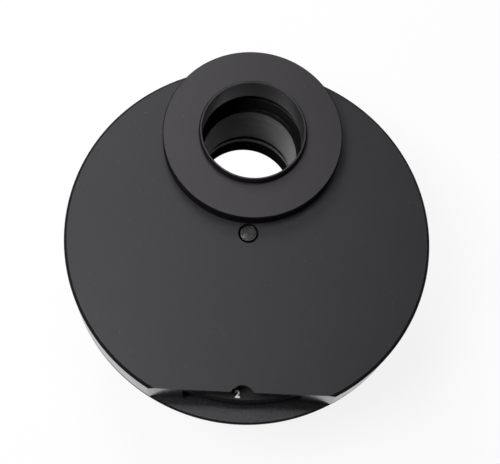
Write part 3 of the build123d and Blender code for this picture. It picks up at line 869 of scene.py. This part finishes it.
# ------------------------------------------------------------------ carousel
def make_carousel():
    """The disc with five stepped cells, rim notches and the hole for its bush."""
    disc = turned("filter_carousel", rounded([
        (0, CAROUSEL_BOTTOM),
        (CAROUSEL_RADIUS - RIM_CHAMFER, CAROUSEL_BOTTOM),
        (CAROUSEL_RADIUS, CAROUSEL_BOTTOM + RIM_CHAMFER),
        (CAROUSEL_RADIUS, CAROUSEL_TOP - RIM_CHAMFER),
        (CAROUSEL_RADIUS - RIM_CHAMFER, CAROUSEL_TOP),
        (0, CAROUSEL_TOP),
    ]), SPIN, CASING_FACETS)
    seat = CAROUSEL_TOP - SEAT_DEPTH
    lip_bottom = CAROUSEL_BOTTOM + LIP_HEIGHT
    lip_top = lip_bottom + LIP_SLOPE
    under, over = CAROUSEL_BOTTOM - OVERRUN, CAROUSEL_TOP + OVERRUN
    cutters = [round_cutter("bush_seat", BUSH_RADIUS, under, over, SPIN, BUSH_FACETS)]
    for angle in CELL_ANGLES:
        cutters.append(turned("cell", [
            (0, over),
            (SEAT_RADIUS, over),
            (SEAT_RADIUS, seat),
            (CELL_RADIUS + ENTRY_CHAMFER, seat),
            (CELL_RADIUS, seat - ENTRY_CHAMFER),
            (CELL_RADIUS, lip_top),
            (LIP_RADIUS, lip_bottom),
            (LIP_RADIUS, under),
            (0, under),
        ], around(SPIN, PITCH_RADIUS, angle), CELL_FACETS))
        root = CAROUSEL_RADIUS - RIM_NOTCH_DEPTH
        outer = CAROUSEL_RADIUS + RIM_NOTCH_DEPTH
        spread = math.degrees(2 * RIM_NOTCH_HALF_WIDTH / outer)
        cutters.append(slab("rim_notch", [
            around(SPIN, root, angle),
            around(SPIN, outer, angle - spread),
            around(SPIN, outer, angle + spread),
        ], under, over))
    cut(disc, *cutters)
    finished(shaded(softened(disc, TURNED_ROUND)), carousel_black, "carousel",
             "black_anodised_carousel", "carousel")
    starts = [
        (*around(SPIN, PITCH_RADIUS, angle), lip_top + M48_FLANK) for angle in CELL_ANGLES
    ]
    thread("cell_threads", starts, CELL_RADIUS, seat - ENTRY_CHAMFER - lip_top - 2 * M48_FLANK,
           carousel_black, "carousel", "black_anodised_carousel")


def number_mesh(number):
    """A flat number about the origin, upright along Y."""
    curve = bpy.data.curves.new("number", "FONT")
    curve.body = str(number)
    curve.align_x = "CENTER"
    curve.align_y = "CENTER"
    curve.size = NUMBER_HEIGHT / NUMBER_SHARE * MM
    curve.extrude = NUMBER_DEPTH * MM
    curve.offset = NUMBER_BOLDNESS * MM
    text = bpy.data.objects.new("number", curve)
    bpy.context.scene.collection.objects.link(text)
    bpy.context.view_layer.update()
    graph = bpy.context.evaluated_depsgraph_get()
    mesh = bpy.data.meshes.new_from_object(text.evaluated_get(graph))
    bpy.data.objects.remove(text)
    return mesh


def make_numbers():
    """The white numbers by the carousel's rim, each read through the notch."""
    numbers = []
    for number in range(1, CELLS + 1):
        angle = WINDOW_ANGLE + NUMBER_LEAD + CELL_STEP * (number - NUMBER_SHOWN)
        middle = (*around(SPIN, NUMBER_RADIUS, angle), CAROUSEL_TOP)
        mesh = number_mesh(number)
        mesh.transform(
            Matrix.Translation(Vector(middle) * MM)
            @ Matrix.Rotation(math.radians(angle - WINDOW_ANGLE), 4, "Z")
        )
        obj = bpy.data.objects.new("number", mesh)
        bpy.context.scene.collection.objects.link(obj)
        numbers.append(obj)
    piece = joined("carousel_numbers", numbers)
    tidy_mesh(piece)
    finished(piece, number_white, "carousel", "black_anodised_carousel")


# ------------------------------------------------------------------ axle and hardware
SCREW_SEED = 7
SCREW_LENGTH = 8.0
HEAD_EDGE = 0.25
M3_SHANK = 1.45
M3_HEAD = 2.8
M3_SOCKET = 2.0
M4_SHANK = 1.95
M4_HEAD = 3.8
M4_SOCKET = 2.5
GRUB_LENGTH = 8.0
GRUB_ROUND = 0.3
GRUB_SOCKET = 1.5


def make_axle():
    """The fixed axle, its faced end flush with the casing's face."""
    axle = turned("axle_end", rounded([
        (0, FACE),
        (AXLE_END_RADIUS, FACE),
        (AXLE_END_RADIUS, BOSS_END),
        (AXLE_RADIUS, BOSS_END),
        (AXLE_RADIUS, GROOVE_TOP),
        (GROOVE_RADIUS, GROOVE_TOP),
        (GROOVE_RADIUS, GROOVE_BOTTOM),
        (AXLE_RADIUS, GROOVE_BOTTOM),
        (AXLE_RADIUS, AXLE_FOOT),
        (AXLE_THREAD_RADIUS, AXLE_FOOT),
        (AXLE_THREAD_RADIUS, AXLE_FOOT + AXLE_THREAD_DEPTH),
        (0, AXLE_FOOT + AXLE_THREAD_DEPTH),
    ], SMALL_ROUND), SPIN, AXLE_FACETS)
    finished(shaded(axle), axle_black, "casing", "blackened_axle", "axle")


def screw_tree():
    """Copies of one screw at the points, tilted alike and each spun at random."""
    group = bpy.data.node_groups.new("placed_screws", "GeometryNodeTree")
    face = group.interface
    face.new_socket("Geometry", in_out="INPUT", socket_type="NodeSocketGeometry")
    face.new_socket("Screw", in_out="INPUT", socket_type="NodeSocketObject")
    face.new_socket("Tilt", in_out="INPUT", socket_type="NodeSocketVector")
    face.new_socket("Material", in_out="INPUT", socket_type="NodeSocketMaterial")
    face.new_socket("Geometry", in_out="OUTPUT", socket_type="NodeSocketGeometry")
    tree = Tree(group)
    given = group.nodes.new("NodeGroupInput")
    value = {socket.name: Signal(tree, socket) for socket in given.outputs if socket.name}
    shape = tree.node("GeometryNodeObjectInfo", {}, {"Object": value["Screw"]}, output=4)
    turn = tree.node("FunctionNodeRandomValue", {"data_type": "FLOAT_VECTOR"}, {
        0: (0, 0, 0), 1: (0, 0, 2 * math.pi), "Seed": SCREW_SEED,
    })
    tilted = tree.node("FunctionNodeEulerToRotation", {}, {0: value["Tilt"]})
    spun = tree.node("FunctionNodeRotateRotation", {"rotation_space": "LOCAL"}, {
        0: tilted, 1: tree.node("FunctionNodeEulerToRotation", {}, {0: turn}),
    })
    placed = tree.node("GeometryNodeInstanceOnPoints", {}, {
        "Points": value["Geometry"], "Instance": shape, "Rotation": spun,
    })
    real = tree.node("GeometryNodeRealizeInstances", {}, {"Geometry": placed})
    painted = tree.node("GeometryNodeSetMaterial", {}, {
        "Geometry": real, "Material": value["Material"],
    })
    tree.node("NodeGroupOutput", {}, {"Geometry": painted})
    return group


placed_screws = screw_tree()


def hexagon(across):
    """Corners of a hexagon socket, across its flats."""
    return [around(PORT, across / math.sqrt(3), 60 * side) for side in range(6)]


def countersunk_screw(shank, head, socket):
    """A flat-topped socket screw, its head's face at the origin and its shank down."""
    screw = turned("screw", rounded([
        (0, 0), (head, 0), (head, -HEAD_EDGE), (shank, -HEAD_EDGE - head + shank),
        (shank, -SCREW_LENGTH), (0, -SCREW_LENGTH),
    ], SMALL_ROUND), PORT, SCREW_FACETS)
    return shaded(cut(screw, slab("socket", hexagon(socket), -socket / 2, OVERRUN)))


def grub_screw():
    """A headless socket screw, its socket end at the origin and its tip down."""
    screw = turned("screw", rounded([
        (0, 0), (M3_SHANK, 0), (M3_SHANK, -GRUB_LENGTH), (0, -GRUB_LENGTH),
    ], GRUB_ROUND), PORT, GRUB_FACETS)
    return shaded(cut(screw, slab("socket", hexagon(GRUB_SOCKET), -GRUB_SOCKET, OVERRUN)))


def screws(name, shape, places, tilt):
    """Equal screws at some places as one mesh."""
    return nodes_piece(
        name, places, placed_screws, Screw=shape, Tilt=tilt, Material=screw_black)


def make_screws():
    """The screws that show: round the back plate, at the axle and in the rear flange."""
    head_down = (math.pi, 0.0, 0.0)
    m3 = countersunk_screw(M3_SHANK, M3_HEAD, M3_SOCKET)
    m4 = countersunk_screw(M4_SHANK, M4_HEAD, M4_SOCKET)
    grub = grub_screw()
    wall = [(*around(SPIN, WALL_SCREW_RADIUS, angle), PLATE_BACK) for angle in WALL_SCREW_ANGLES]
    finished(shaded(screws("back_plate_screws", m3, wall, head_down)), screw_black,
             "casing", "black_oxide_steel", "rear_plate_screws")
    foot = [(*SPIN, PLATE_BACK)]
    finished(shaded(screws("axle_foot_screw", m4, foot, head_down)), screw_black,
             "casing", "black_oxide_steel", "axle_screw")
    grubs = []
    for angle in GRUB_ANGLES:
        mouth = (*around(PORT, BARREL_THREAD_RADIUS + GRUB_LENGTH, angle), GRUB_HEIGHT)
        outwards = (0.0, math.radians(90), math.radians(angle))
        grubs.append(screws("grub_screw", grub, [mouth], outwards))
    finished(shaded(joined("flange_grub_screws", grubs)), screw_black,
             "casing", "black_oxide_steel", "barrel_grub_screws")
    for shape in (m3, m4, grub):
        bpy.data.objects.remove(shape)


def dress_inner_nodes():
    """Finishes for the pieces that keep their construction shape."""
    inner = {
        "front_adapter_screws": screw_black,
        "rear_adapter_screws": screw_black,
        "locating_pins": ground_steel,
        "carousel_bush": sintered_bronze,
        "front_thrust_washer": slippery_white,
        "rear_thrust_washer": slippery_white,
        "disc_spring": spring_steel,
        "axle_circlip": spring_steel,
        "detent_spring": spring_steel,
        "detent_spring_screws": ground_steel,
    }
    for name, material in inner.items():
        node = frame["nodes"][name]
        node.data.materials.clear()
        node.data.materials.append(material)


make_casing()
make_back_plate()
make_front_flange()
make_rear_flange()
make_barrel()
make_carousel()
make_numbers()
make_axle()
make_screws()
dress_inner_nodes()

# ------------------------------------------------------------------ floor, light, camera
TABLE_SIZE = 20000.0
TABLE_WHITE = 0.80
TABLE_GLOW = 0.87  # share of its brightness that doesn't depend on the lamps
PAINTED_BORE_SHADE = (6.0, -22.5)  # middle of the round edge of the painted shade inside the barrel
PAINTED_BORE_SHADE_RADIUS = 31.0
BACKDROP_HEIGHT = 3500.0
BACKDROP_THICKNESS = 50.0
ROOM = 0.07
SUBJECT = (0, -42, 20)
LAMP_SIZE = 450.0
CAMERA_PLACE = (-20.25, -191.3, 483.0)
CAMERA_AIM = (-0.08, -42.07, 30.9)
CAMERA_UP = (-0.0514, 0.949, 0.311)
CAMERA_LENS = 78.49  # mm, on a sensor 36 mm wide
CAMERA_SHIFT = (0.0032, -0.0078)
CAMERA_RANGE = (0.01, 20.0)  # m
SENSOR_WIDTH = 36.0


def seen_directly(tree):
    """1 for what the camera sees, also by a reflection or through glass, and 0 for light."""
    path = tree.tree.nodes.new("ShaderNodeLightPath")
    by_camera = Signal(tree, path.outputs["Is Camera Ray"])
    by_mirror = Signal(tree, path.outputs["Is Glossy Ray"])
    through_glass = Signal(tree, path.outputs["Is Transmission Ray"])
    return by_camera + by_mirror + through_glass


def whitened(stage, material, tree, bright):
    """Gives a stage piece lit white paint, seen as plain white by the share that's bright."""
    white = tree.node("ShaderNodeBsdfDiffuse", {}, {
        "Color": (TABLE_WHITE, TABLE_WHITE, TABLE_WHITE, 1),
    })
    glow = tree.node("ShaderNodeEmission", {}, {"Strength": 1.0})
    seen = seen_directly(tree) * bright
    shown = tree.node("ShaderNodeMixShader", {}, {0: seen, 1: white, 2: glow})
    tree.node("ShaderNodeOutputMaterial", {}, {"Surface": shown})
    stage.data.materials.append(material)


def make_backdrop():
    """A low white wall round the table, far off, so that low views end in white."""
    inner, outer = TABLE_SIZE / 2 - BACKDROP_THICKNESS, TABLE_SIZE / 2
    wall = turned("backdrop", [
        (inner, BARREL_END), (inner, BACKDROP_HEIGHT),
        (outer, BACKDROP_HEIGHT), (outer, BARREL_END),
    ])
    whitened(wall, *new_material("backdrop_white"), TABLE_GLOW)


def make_table():
    """A white table under the barrel, which the object's shadow only tints. Inside the barrel a
    round patch of it is painted shade, lit by the lamps alone, and the rest is painted full
    white, a painted pool of light down the bore.
    """
    half = TABLE_SIZE / 2
    table = solid("table", [
        (-half, -half, BARREL_END), (half, -half, BARREL_END),
        (half, half, BARREL_END), (-half, half, BARREL_END),
    ], [(0, 1, 2, 3)])
    material, tree = new_material("table_white")
    place = tree.node("ShaderNodeTexCoord", output=3)
    in_barrel = radius_from(tree, place, PORT).below(INSIDE_BARREL)
    in_painted_shade = radius_from(tree, place, PAINTED_BORE_SHADE).below(PAINTED_BORE_SHADE_RADIUS)
    # inside the barrel: painted light (full white) beside the disc, painted shade (lamp-lit only)
    # within it
    bright = in_barrel * (1 - in_painted_shade) + (1 - in_barrel) * TABLE_GLOW
    whitened(table, material, tree, bright)


def make_world():
    """A dim, even room behind the lamps."""
    world = bpy.data.worlds.new("room")
    world.use_nodes = True
    world.node_tree.nodes.clear()
    tree = Tree(world.node_tree)
    room = tree.node("ShaderNodeBackground", {}, {"Color": (1, 1, 1, 1), "Strength": ROOM})
    tree.node("ShaderNodeOutputWorld", {}, {"Surface": room})
    bpy.context.scene.world = world


def make_lamp(name, place, power):
    """A soft square lamp that faces the object from a place in mm, its power in watts."""
    light = bpy.data.lights.new(name, "AREA")
    light.shape = "SQUARE"
    light.size = LAMP_SIZE * MM
    light.energy = power
    lamp = bpy.data.objects.new(name, light)
    lamp.location = Vector(place) * MM
    lamp.rotation_euler = (Vector(SUBJECT) - Vector(place)).to_track_quat("-Z", "Y").to_euler()
    bpy.context.scene.collection.objects.link(lamp)


def make_camera():
    """The camera, nearly square to the face, from below the middle."""
    back = (Vector(CAMERA_PLACE) - Vector(CAMERA_AIM)).normalized()
    right = Vector(CAMERA_UP).cross(back).normalized()
    up = back.cross(right)
    data = bpy.data.cameras.new("camera")
    data.lens = CAMERA_LENS
    data.sensor_width = SENSOR_WIDTH
    data.shift_x, data.shift_y = CAMERA_SHIFT
    data.clip_start, data.clip_end = CAMERA_RANGE
    camera = bpy.data.objects.new("camera", data)
    turn = Matrix((right, up, back)).transposed().to_4x4()
    camera.matrix_world = Matrix.Translation(Vector(CAMERA_PLACE) * MM) @ turn
    bpy.context.scene.collection.objects.link(camera)
    bpy.context.scene.camera = camera


make_table()
make_backdrop()
make_world()
make_lamp("key_lamp", (-500, -150, 1000), 10.3)
make_lamp("back_lamp", (-320, 740, 730), 6.5)
make_lamp("top_lamp", (0, 250, 1070), 1.6)
make_camera()

view = bpy.context.scene.view_settings
view.view_transform = "Standard"
